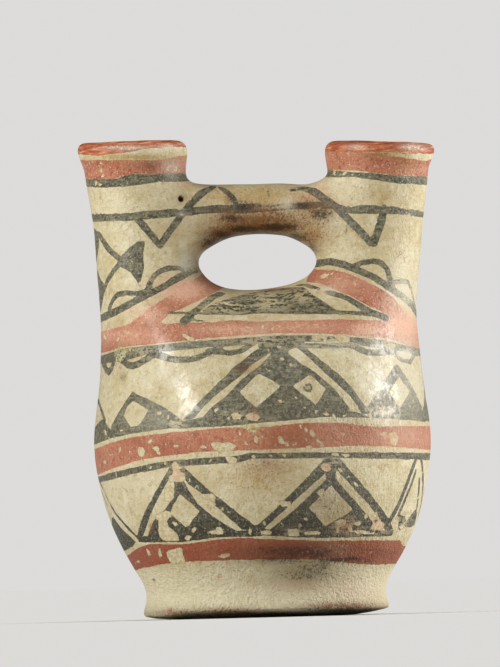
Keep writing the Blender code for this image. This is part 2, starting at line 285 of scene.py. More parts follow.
def cut_up(pixels, closed):
    """The pixels of a line: its corners, with steps of about 2.5 pixels between them."""
    line = np.array(pixels, dtype=float)
    if closed:
        line = np.vstack((line, line[:1]))
    run = np.concatenate(([0.0], np.cumsum(np.hypot(*np.diff(line, axis=0).T))))
    stops = np.union1d(run, np.linspace(0.0, run[-1], int(run[-1] / TRACE_STEP) + 2))
    return np.stack((np.interp(stops, run, line[:, 0]), np.interp(stops, run, line[:, 1])), axis=1)


def on_clay(pixels):
    """Where each pixel's sight line meets the clay. One that passes beside it takes the clay's nearest
    point to where it crosses the pot's middle plane."""
    spots, met = [], []
    for across, down in pixels:
        way = sight_line(across, down)
        spot = clay.ray_cast(viewpoint, way)[0]
        met.append(spot is not None)
        if spot is None:
            spot = clay.find_nearest(viewpoint - way * (viewpoint.y / way.y))[0]
        spots.append(spot)
    return np.array(spots), np.array(met)


def gap_to(points, starts, ends):
    """The distance in mm from each point to the nearest of some chords."""
    span = ends - starts
    length = np.maximum(np.sum(span * span, axis=1), 1e-12)
    offset = points[:, None] - starts
    share = np.clip(np.sum(offset * span, axis=2) / length, 0.0, 1.0)
    return MM * np.sqrt(np.min(np.sum((offset - share[..., None] * span) ** 2, axis=2), axis=1))


def near(pixels, paintable):
    """The paintable points that the photograph shows near a line of pixels."""
    low, high = pixels.min(axis=0) - TRACE_MARGIN, pixels.max(axis=0) + TRACE_MARGIN
    return np.flatnonzero(paintable & np.all((seen > low) & (seen < high), axis=1))


def put(channel, chosen, depth):
    """Keeps the greater depth of what a channel holds and a new form."""
    channels[channel][chosen] = np.maximum(channels[channel][chosen], depth)


def brush(channel, lines):
    """Brush lines, each with its width in mm and the pixels that it runs through: half the width less the
    distance to its traced middle."""
    for width, *pixels in lines:
        line = cut_up(pixels, False)
        spots, _ = on_clay(line)
        chosen = near(line, outer)
        put(channel, chosen, width * BRUSH_SWELL / 2 - gap_to(painted_at[chosen], spots[:-1], spots[1:]))


def crossings(across, down, line):
    """How often a line to the left of each point crosses an outline."""
    (x0, y0), (x1, y1) = line[:-1].T, line[1:].T
    across, down = across[:, None], down[:, None]
    rise = np.where(y1 == y0, 1.0, y1 - y0)
    return np.sum(((y0 <= down) != (y1 <= down)) & (x0 + (down - y0) * (x1 - x0) / rise < across), axis=1)


def patch(channel, *outlines, paintable=outer, swell=0.0):
    """A filled form: the distance to its traced outlines, positive where a line to the left crosses them an
    odd number of times, and a swell in mm more. An outline after the first is left open in it."""
    lines = [cut_up(pixels, True) for pixels in outlines]
    chosen = near(lines[0], paintable)
    inside = sum(crossings(*seen[chosen].T, line) for line in lines) % 2 == 1
    starts, ends = [], []
    for line in lines:
        spots, met = on_clay(line)
        kept = met[:-1] | met[1:]
        starts.append(spots[:-1][kept])
        ends.append(spots[1:][kept])
    gap = gap_to(painted_at[chosen], np.vstack(starts), np.vstack(ends))
    put(channel, chosen, np.where(inside, gap, -gap) + swell)


def fill(forms):
    """Filled forms, each with its channel and its outlines."""
    for channel, *outlines in forms:
        patch(channel, *outlines)


def belt(channel, top, bottom, paintable=outer):
    """A band around the pot: the smaller of the depths under its top edge and above its bottom edge."""
    chosen = np.flatnonzero(paintable)
    across, down = seen[chosen].T
    under_top = down - np.interp(across, *np.array(top, dtype=float).T)
    over_bottom = np.interp(across, *np.array(bottom, dtype=float).T) - down
    put(channel, chosen, MM * PIXEL_SIZE * np.minimum(under_top, over_bottom))


# The lips and necks: an orange lip over a bare stripe, a red band with a black one under it, and below
# them a black line with a zigzag that runs on over the handle. Each neck's bands were brushed on by
# themselves, so the two don't quite match.
NECK_FOOT_LEVEL = 0.243
OVER_THE_LIPS = ((70, 100), (440, 100))
LEFT_LIP_FOOT = ((80, 154), (97, 156), (140, 150), (151, 148), (190, 147))
LEFT_RED_TOP = ((81, 160), (160, 160), (178, 156), (186, 155))
LEFT_RED_FOOT = ((85, 179), (114, 179), (133, 174), (144, 174), (160, 174), (186, 173))
LEFT_RING_FOOT = ((87, 187), (103, 188), (132, 186), (144, 184), (160, 182), (178, 182), (187, 181))
RIGHT_LIP_FOOT = ((318, 151), (345, 152), (389, 152), (402, 154), (420, 153), (432, 154))
RIGHT_RED_TOP = ((320, 150), (371, 153), (426, 161), (432, 159))
RIGHT_RED_FOOT = ((329, 170), (359, 171), (395, 175), (428, 177))
RIGHT_RING_TOP = ((329, 170), (395, 175), (428, 177))
RIGHT_RING_FOOT = ((331, 177), (354, 177), (402, 184), (427, 185))
NECK_RINGS = (
    (4.2, (86, 218), (128, 217), (181, 212), (216, 209), (252, 208)),
    (4.8, (228, 209), (261, 208)),
    (3.6, (261, 208), (318, 205), (336, 206)),
)
NECK_STROKES = (
    (3.9, (137, 218), (160, 245), (183, 213), (190, 205), (201, 194), (213, 187)),
    (3.0, (221, 188), (228, 193), (234, 199), (236, 205)),
    (3.4, (91, 229), (100, 236), (102, 240), (109, 250), (121, 260)),
    (3.4, (121, 262), (113, 271), (107, 281), (103, 293), (99, 318)),
    (4.2, (92, 321), (100, 319), (121, 309), (134, 302), (158, 290), (190, 271), (196, 269)),
    (3.0, (109, 309), (113, 300), (118, 294), (126, 293), (136, 294), (146, 291)),
    (3.2, (148, 289), (151, 281), (155, 275), (162, 270), (170, 268), (184, 268)),
    (4.2, (292, 189), (303, 188), (313, 191), (332, 204), (340, 210), (371, 243), (374, 243), (381, 223),
     (384, 208)),
    (1.6, (266, 186), (269, 196)),
    (4.2, (316, 264), (330, 262), (341, 264), (362, 272), (373, 277), (384, 284), (403, 297), (411, 304),
     (420, 322)),
    (3.4, (353, 266), (362, 263), (373, 261), (381, 263), (387, 269), (392, 286)),
    (2.6, (394, 282), (402, 281), (408, 282), (411, 289), (415, 308)),
)
NECK_FORMS = (
    ("fills", ((120, 256), (130, 247), (138, 241), (145, 240), (145, 245), (143, 252), (144, 267),
     (142, 277), (139, 286), (136, 279), (130, 272), (120, 267))),
    ("fills", ((88, 229), (96, 231), (99, 238), (99, 246), (98, 252), (96, 266), (100, 279), (104, 284),
     (104, 290), (99, 316), (92, 316), (88, 270))),
    ("rings", ((334, 204), (348, 206), (371, 205), (389, 206), (408, 209), (430, 212), (430, 218),
     (387, 214), (353, 214), (336, 212))),
)

left_neck = outer & (places[:, 2] > NECK_FOOT_LEVEL) & (places[:, 0] < 0.0)
right_neck = outer & (places[:, 2] > NECK_FOOT_LEVEL) & (places[:, 0] > 0.0)
belt("lip", OVER_THE_LIPS, LEFT_LIP_FOOT, left_neck)
belt("red", LEFT_RED_TOP, LEFT_RED_FOOT, left_neck)
belt("rings", LEFT_RED_FOOT, LEFT_RING_FOOT, left_neck)
belt("lip", OVER_THE_LIPS, RIGHT_LIP_FOOT, right_neck)
belt("red", RIGHT_RED_TOP, RIGHT_RED_FOOT, right_neck)
belt("rings", RIGHT_RING_TOP, RIGHT_RING_FOOT, right_neck)
brush("rings", NECK_RINGS)
brush("strokes", NECK_STROKES)
fill(NECK_FORMS)

# The waist: a red arch rises under each neck to the finger gap, and between the two, over the first red
# band, stands a flat triangle with two black sides and a streaky grey field.
WAIST_STROKES = (
    (4.0, (222, 293), (213, 297), (185, 320)),
    (5.2, (189, 318), (185, 321)),
    (2.6, (298, 285), (306, 285), (319, 289)),
    (3.6, (328, 292), (347, 298), (371, 312), (387, 318)),
    (1.7, (169, 313), (219, 314), (241, 314), (250, 313)),
    (2.6, (250, 312), (335, 312), (362, 313), (378, 315)),
    (1.3, (196, 321), (202, 321)),
)
WAIST_FORMS = (
    ("red", ((84, 336), (130, 324), (148, 309), (191, 282), (201, 275), (205, 270), (217, 283), (225, 287),
     (182, 309), (170, 314), (150, 332), (84, 345))),
    ("red", ((312, 268), (318, 270), (335, 270), (347, 273), (359, 278), (381, 289), (393, 297), (410, 318),
     (424, 338), (424, 352), (389, 338), (391, 319), (387, 314), (365, 304), (353, 297), (329, 287),
     (318, 283), (306, 282))),
    ("fills", ((202, 311), (212, 304), (232, 297), (244, 294), (275, 289), (292, 287), (304, 287),
     (312, 294), (335, 309), (338, 312), (204, 313))),
)

brush("strokes", WAIST_STROKES)
fill(WAIST_FORMS)

# The first red band, which runs all around the pot. A black line under it is drawn out into loops and waves
# by short strokes of a narrow brush, like a scalloped hem.
FIRST_RED_TOP = ((85, 338), (110, 334), (160, 323), (168, 324), (213, 322), (230, 320), (250, 321),
    (347, 319), (389, 321), (400, 323), (420, 330))
FIRST_RED_FOOT = ((90, 356), (126, 347), (242, 335), (274, 333), (311, 333), (371, 336), (389, 339),
    (416, 347), (424, 350))
HEM_LINE_TOP = ((85, 358), (100, 356), (126, 348), (198, 341), (277, 335), (311, 335), (354, 337),
    (389, 341), (416, 348))
HEM_LINE_FOOT = ((100, 364), (129, 360), (155, 352), (198, 349), (209, 347), (224, 347), (251, 344),
    (303, 342), (335, 341), (354, 343), (365, 346), (405, 352), (416, 356))
HEM_STROKES = (
    (3.9, (119, 357), (128, 365), (133, 366), (139, 364), (159, 352)),
    (3.7, (149, 352), (170, 359), (178, 360), (188, 360), (197, 358), (220, 348)),
    (3.5, (208, 351), (230, 353), (240, 351), (253, 343)),
    (3.2, (300, 345), (320, 346), (350, 345), (358, 347)),
    (3.6, (350, 345), (366, 352), (375, 353), (387, 352), (395, 350)),
    (2.8, (392, 352), (400, 359), (410, 362), (416, 351)),
)
HEM_FORMS = (
    ("strokes", ((101, 360), (113, 358), (115, 364), (113, 371), (109, 376), (105, 372), (102, 366)),
     ((106, 362), (112, 362), (111, 366), (109, 368), (107, 366))),
)

belt("red", FIRST_RED_TOP, FIRST_RED_FOOT)
belt("rings", HEM_LINE_TOP, HEM_LINE_FOOT)
brush("strokes", HEM_STROKES)
fill(HEM_FORMS)

# The belly: black triangles stand on the second red band. Each is a solid form with bare diamonds, inside
# a pair of broad strokes that meet at the top. One more, which the photograph doesn't show, stands on the
# pot's right side, in mm from the side's middle, the same in front and behind, and mm above the floor.
BELLY_STROKES = (
    (2.6, (95, 393), (105, 421)),
    (1.3, (304, 388), (306, 385), (310, 384), (312, 387), (310, 391), (307, 391)),
)
BELLY_FORMS = (
    ("fills", ((258, 341), (306, 341), (301, 347), (293, 348), (289, 350), (288, 353), (299, 362),
     (313, 370), (335, 389), (342, 398), (351, 411), (360, 413), (372, 418), (323, 417), (242, 425),
     (178, 429), (180, 423), (186, 420), (194, 419), (203, 417), (209, 410), (227, 395), (243, 378),
     (260, 365), (270, 355), (272, 352), (258, 349)), ((259, 373), (281, 386), (256, 408), (239, 392)),
     ((310, 375), (326, 389), (316, 405), (292, 386))),
    ("fills", ((133, 391), (137, 394), (166, 408), (184, 422), (192, 423), (192, 427), (171, 428),
     (131, 434), (112, 438), (88, 447), (88, 436), (100, 420), (103, 419), (111, 430), (111, 426),
     (118, 414), (126, 401)), ((134, 401), (148, 410), (142, 421), (138, 426), (131, 427), (124, 416),
     (128, 406))),
    ("fills", ((397, 368), (413, 397), (421, 408), (426, 422), (408, 420), (372, 418), (371, 413),
     (390, 381)), ((399, 377), (409, 392), (400, 408), (389, 392))),
)
RIBBON_SWELL = 0.22
BELLY_RIBBONS = (
    (((267, 343), (251, 354), (234, 368), (204, 397), (183, 420)), ((272, 351), (250, 366), (239, 377),
     (220, 391), (204, 406), (193, 419))),
    (((299, 343), (312, 353), (339, 375), (351, 387), (370, 413)), ((290, 342), (302, 351), (349, 395),
     (357, 405), (362, 414))),
    (((395, 365), (367, 408)), ((399, 368), (374, 410))),
    (((397, 364), (408, 380), (416, 395), (422, 408)), ((396, 368), (412, 396), (418, 409))),
)
SIDE_REACH = 0.05
SIDE_TRIANGLE = ((-34, 114.5), (34, 114.5), (30, 119), (19, 126), (8, 135.5), (0, 143), (-8, 135.5),
    (-19, 126), (-30, 119))
SIDE_DIAMOND = ((0, 136.5), (8, 128), (0, 120), (-8, 128))

right_side = np.flatnonzero(outer & (places[:, 0] > SIDE_REACH))
side_spots = np.stack((np.abs(places[right_side, 1]), places[right_side, 2]), axis=1)


def fill_between(ribbons):
    """Broad black strokes, each between two edges."""
    for one_edge, other_edge in ribbons:
        patch("strokes", one_edge + tuple(reversed(other_edge)), swell=RIBBON_SWELL)


def side_fill(*outlines):
    """A filled form on the right side, as patch() makes it, from outlines in mm."""
    lines = [np.array(outline + outline[:1]) / MM for outline in outlines]
    inside = sum(crossings(*side_spots.T, line) for line in lines) % 2 == 1
    gap = np.min([gap_to(side_spots, line[:-1], line[1:]) for line in lines], axis=0)
    put("fills", right_side, np.where(inside, gap, -gap))


brush("strokes", BELLY_STROKES)
fill(BELLY_FORMS)
fill_between(BELLY_RIBBONS)
side_fill(SIDE_TRIANGLE, SIDE_DIAMOND)

# The second red band and the black line below it, which part the belly's triangles from the smaller ones.
# Both were drawn freehand around the pot, so their edges rise and fall a little.
SECOND_RED_TOP = ((95, 449), (112, 442), (133, 437), (155, 434), (220, 428), (246, 427), (262, 427),
    (305, 423), (347, 423), (365, 426), (383, 427), (408, 426), (429, 426))
SECOND_RED_FOOT = ((97, 475), (112, 469), (133, 462), (155, 457), (198, 452), (359, 446), (399, 447),
    (429, 450))
SECOND_LINE_TOP = ((98, 477), (112, 472), (155, 463), (177, 460), (242, 455), (250, 453), (355, 452),
    (431, 453))
SECOND_LINE_FOOT = ((99, 483), (133, 474), (171, 467), (242, 462), (250, 459), (323, 458), (395, 459),
    (429, 460))

belt("red", SECOND_RED_TOP, SECOND_RED_FOOT)
belt("rings", SECOND_LINE_TOP, SECOND_LINE_FOOT)

# The lower belly: smaller triangles of the same kind, each inside its pair of broad strokes, and the third
# red band, which ends the painting above the bare foot.
THIRD_RED_TOP = ((127, 556), (138, 548), (151, 544), (183, 544), (220, 539), (242, 538), (323, 541),
    (400, 540), (402, 545), (408, 547))
THIRD_RED_FOOT = ((134, 571), (139, 569), (157, 565), (187, 561), (287, 559), (323, 560), (360, 564),
    (379, 565), (394, 564))
LOWER_STROKES = (
    (2.0, (99, 481), (108, 501), (115, 513), (125, 525), (138, 538)),
    (1.4, (100, 489), (106, 504), (113, 518), (121, 529), (131, 539)),
    (3.4, (417, 457), (407, 485), (399, 504), (390, 521)),
    (2.4, (416, 472), (411, 487), (398, 516)),
)
LOWER_FORMS = (
    ("fills", ((173, 479), (184, 480), (187, 487), (198, 504), (213, 516), (229, 527), (237, 531),
     (258, 528), (262, 531), (262, 536), (220, 537), (182, 542), (138, 542), (139, 536), (148, 536),
     (153, 522), (158, 514), (165, 510), (173, 496), (175, 486)), ((180, 494), (200, 511), (189, 526),
     (186, 527), (170, 513))),
    ("fills", ((111, 516), (120, 527), (136, 542), (132, 547), (125, 551), (118, 552), (112, 540))),
    ("fills", ((326, 458), (341, 458), (337, 468), (335, 478), (369, 517), (373, 523), (370, 529),
     (385, 531), (394, 530), (392, 536), (323, 538), (286, 537), (260, 535), (256, 530), (262, 528),
     (270, 530), (296, 508), (326, 479), (325, 473)), ((331, 485), (353, 510), (325, 526), (309, 508))),
    ("fills", ((399, 514), (405, 516), (406, 521), (402, 525), (400, 532), (398, 528))),
)
LOWER_RIBBONS = (
    (((170, 467), (148, 506), (141, 522), (137, 537)), ((178, 467), (168, 480), (153, 507), (143, 536))),
    (((184, 467), (213, 494), (245, 518), (257, 528)), ((178, 471), (188, 483), (202, 493), (243, 530))),
    (((326, 458), (315, 470), (279, 506), (256, 527)), ((333, 465), (323, 475), (298, 497), (292, 503),
     (263, 529))),
    (((340, 459), (366, 489), (381, 508), (389, 520), (393, 529)), ((333, 465), (342, 475), (366, 501),
     (378, 515), (386, 531))),
)
LOWER_SIDE_STROKES = (
    (3.2, (33, 93), (27, 86), (18, 76), (9, 64), (0, 53)),
    (3.0, (30, 80), (25, 70), (19, 60), (15, 54)),
)
LOWER_SIDE_FOOT = ((10, 53), (22, 51.5), (36, 51.5), (30, 58), (24, 62), (16, 60))


def side_brush(lines):
    """Brush lines on the right side, each with its width and its marks in mm, as brush() makes them."""
    for width, *marks in lines:
        line = np.array(marks) / MM
        put("strokes", right_side, width / 2 - gap_to(side_spots, line[:-1], line[1:]))


belt("red", THIRD_RED_TOP, THIRD_RED_FOOT)
brush("strokes", LOWER_STROKES)
fill(LOWER_FORMS)
fill_between(LOWER_RIBBONS)
side_brush(LOWER_SIDE_STROKES)
side_fill(LOWER_SIDE_FOOT)

# What time has done to the front: paint lost in flakes and small chips, pale and yellow crusts, soot and
# brown dirt under the handle and around the foot, hazy and rubbed places, and grit that shows through. With
# them
# lies painted light and shade: painted shade under the handle, along the finger gap's upper edge and over
# the lower belly, and painted highlights and glints on the lips, the left arch and the belly.
FLAKES = (
    ((182, 333), (187, 335), (194, 340), (190, 341), (183, 337)),
    ((245, 325), (249, 326), (252, 328), (248, 329), (245, 328)),
    ((319, 276), (325, 273), (330, 274), (328, 277), (322, 279)),
    ((152, 305), (154, 305), (155, 313), (153, 314)),
    ((155, 316), (156, 318), (158, 327), (156, 325)),
    ((161, 322), (162, 321), (160, 330), (159, 331)),
    ((333, 335), (343, 334), (351, 337), (350, 343), (341, 342), (336, 339)),
    ((312, 336), (322, 335), (329, 337), (326, 339), (316, 338)),
    ((384, 344), (390, 343), (397, 344), (396, 347), (387, 347)),
    ((276, 345), (280, 345), (282, 346), (278, 348)),
    ((263, 367), (272, 371), (268, 371), (264, 369)),
    ((230, 413), (237, 412), (243, 416), (240, 420), (233, 419)),
    ((245, 415), (253, 413), (261, 417), (257, 422), (248, 421)),
    ((138, 447), (143, 447), (145, 451), (144, 458), (138, 457), (137, 451)),
    ((119, 446), (121, 447), (121, 451), (118, 453)),
    ((210, 443), (220, 442), (231, 443), (237, 446), (231, 451), (220, 452), (213, 448)),
    ((389, 433), (396, 432), (399, 438), (397, 446), (391, 444)),
    ((114, 471), (116, 472), (117, 478), (115, 478)),
    ((224, 456), (232, 456), (237, 457), (236, 463), (229, 463)),
    ((250, 455), (255, 455), (257, 459), (252, 459)),
    ((330, 453), (338, 453), (340, 456), (331, 456)),
    ((342, 453), (350, 453), (351, 457), (344, 458)),
    ((172, 464), (176, 462), (179, 466), (178, 470), (184, 473), (187, 480), (182, 482), (170, 482),
     (168, 477), (173, 472)),
    ((153, 517), (159, 513), (166, 510), (172, 513), (171, 517), (167, 520), (168, 526), (178, 534),
     (180, 541), (166, 541), (160, 537), (158, 529), (158, 521)),
    ((172, 522), (176, 521), (179, 525), (175, 527)),
    ((184, 538), (189, 534), (193, 537), (188, 541)),
    ((164, 489), (170, 485), (174, 490), (174, 499), (170, 502), (164, 502)),
    ((198, 494), (212, 493), (216, 497), (214, 501), (206, 500)),
    ((205, 531), (216, 530), (216, 527), (222, 527), (223, 534), (207, 534)),
    ((280, 501), (290, 502), (291, 507), (281, 506)),
    ((322, 464), (329, 463), (332, 470), (327, 473), (321, 469)),
    ((317, 490), (324, 490), (325, 496), (318, 497)),
    ((287, 529), (298, 529), (300, 536), (288, 536)),
    ((303, 532), (315, 531), (321, 532), (320, 535), (305, 535)),
    ((335, 522), (341, 519), (347, 520), (345, 526), (339, 528)),
    ((350, 531), (362, 530), (376, 532), (374, 535), (356, 534)),
    ((260, 531), (272, 531), (270, 535), (260, 534)),
    ((373, 521), (380, 519), (385, 524), (383, 529), (375, 530)),
    ((166, 552), (172, 549), (182, 547), (183, 554), (186, 563), (172, 564), (168, 559)),
    ((159, 549), (161, 549), (162, 556), (160, 559), (158, 554)),
    ((146, 549), (149, 550), (151, 556), (148, 555)),
    ((152, 448), (156, 446), (160, 448), (156, 451)),
    ((305, 446), (312, 445), (311, 449), (306, 449)),
    ((349, 405), (354, 403), (359, 408), (357, 412), (351, 411)),
    ((263, 501), (270, 500), (272, 504), (266, 506)),
    ((332, 170), (336, 171), (335, 177), (333, 176)),
    ((100, 166), (101, 165), (102, 171), (101, 172)),
    ((244, 449), (262, 449), (262, 450), (245, 450)),
    ((218, 556), (224, 554), (231, 553), (230, 556), (223, 558)),
)
CRUSTS = (
    ((115, 349), (121, 346), (128, 349), (127, 356), (118, 365), (115, 358)),
    ((127, 348), (133, 347), (136, 350), (131, 353)),
    ((243, 425), (252, 423), (259, 424), (260, 430), (254, 433), (245, 431)),
    ((184, 258), (189, 256), (191, 261), (187, 266), (183, 265)),
    ((190, 262), (195, 261), (197, 268), (192, 273)),
    ((279, 523), (283, 522), (284, 526), (280, 527)),
)
# The chips' pixels, by their radius in mm. A chip is drawn out one way and drawn in the other.
CHIP_ALONG, CHIP_ASIDE = 0.65, 1.25
CHIPS = {
    0.9: ((100, 164), (103, 176), (128, 333), (210, 328), (222, 326), (238, 330), (285, 324), (222, 343),
        (268, 350), (290, 364), (280, 401), (216, 410), (122, 430), (105, 432), (328, 437), (270, 430),
        (335, 428), (343, 434), (408, 437), (165, 444), (130, 452), (110, 455), (240, 434), (150, 468),
        (210, 461), (316, 456), (365, 456), (276, 519), (284, 513), (297, 515), (300, 525), (352, 492),
        (308, 492)),
    1.0: ((96, 184), (352, 175), (118, 339), (272, 329), (318, 331), (243, 342), (352, 344), (372, 338),
        (283, 359), (296, 398), (305, 408), (160, 413), (108, 437), (300, 427), (306, 440), (252, 432),
        (150, 441), (158, 452), (176, 446), (104, 462), (246, 443), (165, 464), (284, 455), (150, 484),
        (197, 486), (205, 494), (222, 509), (265, 524), (290, 508), (305, 519), (340, 470), (362, 500),
        (313, 484)),
    1.1: ((105, 337), (262, 325), (235, 346), (385, 342), (316, 412), (345, 415), (168, 417), (306, 430),
        (322, 445), (295, 444), (263, 436), (270, 456), (190, 480), (356, 484), (369, 508)),
    1.2: ((345, 173), (318, 441), (214, 503), (348, 477), (376, 515), (332, 274), (228, 418), (204, 447),
        (194, 530), (138, 562), (283, 443), (100, 185)),
    1.3: ((315, 338), (327, 414), (287, 444), (383, 434), (250, 531), (366, 517), (358, 524), (338, 530),
        (402, 527)),
    1.4: ((325, 341), (334, 417)),
    1.5: ((312, 433), (256, 440), (350, 528), (320, 491), (395, 520)),
    1.7: ((281, 441),),
}
# Each stain or patch of painted light is a pixel, a reach in pixels to each side and one up and down, and a
# strength.
STAINS_AND_LIGHT = {
    # Soot also lays painted shade under the handle, along the finger gap's upper edge and over the lower
    # belly and the third red band.
    "soot_and_shade": ((243, 207, 11, 6, 0.85), (232, 218, 15, 4, 0.8), (303, 206, 11, 4, 0.95),
        (321, 214, 12, 6, 0.9), (222, 235, 14, 6, 0.8), (244, 229, 20, 5, 0.9), (279, 227, 26, 5, 0.9),
        (297, 237, 14, 7, 0.8), (264, 234, 28, 4, 0.8), (212, 243, 12, 9, 0.8), (312, 248, 7, 8, 0.6),
        (152, 166, 15, 6, 0.4), (308, 572, 32, 13, 0.55), (322, 566, 14, 7, 0.6), (336, 560, 30, 3, 0.85),
        (318, 556, 24, 5, 0.6), (300, 552, 56, 9, 0.7), (294, 526, 28, 9, 0.4), (330, 505, 24, 20, 0.35),
        (352, 558, 10, 1.4, 1), (367, 561, 6, 1.4, 0.9), (282, 560, 34, 5, 0.6), (268, 614, 130, 3.6, 0.7),
        (345, 610, 46, 4.4, 0.75), (308, 388, 4.4, 3.4, 0.45), (215, 209, 26, 3, 0.45),
        (231, 199, 5, 7, 0.5), (314, 171, 4, 3, 0.3), (123, 377, 3, 4, 0.5), (347, 230, 1, 3.4, 1),
        (243, 367, 7, 5, 0.55), (154, 580, 1.5, 1.4, 0.9), (376, 521, 2, 2, 1), (378, 554, 24, 5, 0.35),
        (280, 214, 30, 5, 0.3), (262, 221, 52, 9, 0.3)),
    # Rust also lays brown painted shade under the handle and along the finger gap's upper edge.
    "rust_and_shade": ((228, 215, 17, 5, 0.75), (262, 212, 26, 8, 0.6), (224, 233, 24, 9, 0.95),
        (272, 226, 40, 7, 0.95), (238, 222, 26, 12, 0.8), (312, 208, 22, 10, 0.6), (300, 552, 70, 10, 0.5),
        (181.3, 198.7, 4.6, 4.6, 0.75), (208, 245, 12, 9, 0.7), (306, 199, 11, 6, 0.55),
        (262, 219, 42, 7, 0.75), (312, 238, 14, 12, 0.6), (300, 222, 22, 9, 0.6), (228, 200, 5, 6, 0.45),
        (230, 611, 40, 4, 0.7), (345, 606, 46, 5, 0.75), (178, 613, 22, 4, 0.6), (243, 368, 9, 6, 0.5),
        (344, 526, 10, 8, 0.6), (272, 467, 20, 5, 0.4), (254, 414, 3, 11, 0.6), (262, 289.6, 28, 2.2, 0.6),
        (300, 437, 40, 12, 0.4), (268, 463, 7, 4, 0.6), (170, 611, 5, 3.6, 0.6), (151.6, 527, 2, 4, 0.9),
        (378, 153.6, 15, 3, 0.6)),
    # Haze also paints the glints on both lips and painted highlights on both sides of the belly and at the
    # right of the waist.
    "haze_and_glints": ((172, 166, 11, 8, 0.55), (408, 386, 20, 36, 0.45), (404, 354, 14, 8, 0.8),
        (392, 345, 34, 9, 0.5), (405, 295, 16, 18, 0.5), (288, 203, 8, 7, 0.65), (412, 147, 15, 4.4, 0.55),
        (355, 147, 12, 3.4, 0.4), (366, 586, 20, 14, 0.4), (182, 212.6, 4.4, 3.4, 0.6),
        (385, 411, 16, 9, 0.6), (330, 290, 8, 4, 0.5), (378, 384, 13, 20, 0.75), (187, 263, 8, 9, 1),
        (198, 262, 4, 9, 0.5), (176, 381, 12, 8, 0.6), (190, 408, 7, 5, 0.4), (130, 148, 26, 3, 0.6),
        (166, 147, 13, 3.4, 0.45), (166, 372, 7, 5, 0.5), (200, 345, 60, 6, 0.15), (346, 345, 40, 6, 0.3),
        (154, 417, 34, 14, 0.25), (406, 292, 12, 14, 0.5), (262, 328, 12, 8, 0.2)),
    # Thin also pales the black under the painted highlight at the right of the belly.
    "thin": ((226, 305, 26, 8, 1), (266, 299, 26, 11, 1), (300, 294, 22, 8, 0.9), (330, 341, 34, 8, 0.7),
        (262, 340, 26, 7, 0.55), (384, 411, 13, 9, 0.9), (176, 423, 9, 7, 0.8), (344, 524, 12, 8, 0.8),
        (366, 532, 24, 4, 0.7), (296, 532, 12, 5, 0.6), (176, 470, 9, 9, 0.5), (334, 464, 10, 8, 0.5),
        (142, 352, 14, 8, 0.5), (404, 520, 9, 12, 0.5), (240, 417, 22, 5, 0.4), (152, 278, 5, 5, 0.5),
        (278, 206, 17, 6, 1), (267, 191, 4, 6, 0.8), (290, 190, 11, 6, 1), (404, 288, 12, 14, 0.6)),
    # Ochre also darkens the bare stripe under each lip: painted shade under the lip.
    "ochre_and_shade": ((262, 197, 62, 13, 0.75), (262, 222, 58, 13, 0.9), (312, 232, 22, 15, 0.75),
        (228, 226, 30, 12, 0.5), (136, 157, 46, 3.4, 0.85), (388, 154.4, 20, 3, 0.7),
        (132, 356, 18, 9, 0.5), (119, 372, 6, 14, 0.4), (252, 428, 10, 6, 0.5), (405, 165, 12, 9, 0.35),
        (384, 196, 24, 12, 0.5), (176, 232, 22, 12, 0.35), (262, 478, 42, 22, 0.55),
        (318, 208, 30, 18, 0.7), (320, 505, 60, 24, 0.3), (395, 235, 18, 26, 0.3), (252, 580, 12, 8, 0.35),
        (300, 574, 40, 13, 0.5), (245, 370, 14, 5, 0.4)),
    # Pink also lays a painted highlight over the left red arch and at the right of the belly.
    "pink_and_sheen": ((184, 184, 8, 4, 0.55), (321, 188, 6, 5, 0.7), (188.5, 213, 4, 5, 0.6), (305, 197, 12, 6, 0.5),
        (404, 327, 22, 20, 0.9), (182, 289, 28, 14, 0.95), (150, 314, 26, 13, 0.55),
        (345, 283, 30, 14, 0.5), (120, 335, 40, 10, 0.5), (230, 330, 50, 8, 0.6), (372, 330, 30, 9, 0.75),
        (396, 438, 40, 13, 0.45), (220, 577.6, 3.4, 3, 0.8), (170, 611, 3.4, 3.6, 0.8),
        (372, 592, 16, 10, 0.35), (352, 590, 22, 12, 0.35), (300, 586, 34, 6, 0.4), (300, 326, 60, 9, 0.5),
        (262, 470, 22, 12, 0.25), (176, 473, 9, 8, 0.45), (334, 551, 14, 5, 0.4), (326, 468, 6, 5, 0.7),
        (378, 525, 9, 6, 0.6), (385, 411, 12, 7, 0.5), (252, 417, 8, 5, 0.5)),
    "grit": ((350, 425, 45, 26, 0.8), (300, 440, 50, 14, 0.6), (268, 465, 30, 22, 0.7),
        (330, 470, 20, 20, 0.4), (345, 555, 60, 20, 1), (250, 562, 40, 16, 0.6), (340, 600, 50, 14, 0.7),
        (200, 608, 60, 6, 0.6), (265, 215, 55, 14, 0.5), (325, 225, 24, 26, 0.8), (290, 395, 60, 25, 0.4),
        (330, 505, 26, 22, 0.5), (122, 355, 14, 12, 0.8), (345, 340, 40, 8, 0.6), (190, 262, 10, 12, 0.5),
        (170, 445, 70, 12, 0.35)),
}

front_skin = outer & (places[:, 1] < 0.0)


def chip_off(radius, spots):
    """Small places where paint has come off: the radius less the distance, both in mm. Each is longer one
    way, and which way turns with its place."""
    for across, down in spots:
        chosen = near(np.array(((across, down),)), front_skin)
        offset = MM * PIXEL_SIZE * (seen[chosen] - (across, down))
        way = np.array((math.cos(across), math.sin(across)))
        along, aside = offset @ way, offset @ (way[1], -way[0])
        put("worn", chosen, radius - np.hypot(CHIP_ALONG * along, CHIP_ASIDE * aside))


def cloud(spots):
    """The strength of soft stains and painted light, greatest at each point: each falls off as a bell around
    its pixel.
    """
    strengths = np.zeros(len(places))
    for across, down, wide, high, strength in spots:
        reach = ((seen[:, 0] - across) / wide) ** 2 + ((seen[:, 1] - down) / high) ** 2
        strengths = np.maximum(strengths, np.where(front_skin, strength * np.exp(-reach), 0.0))
    return strengths


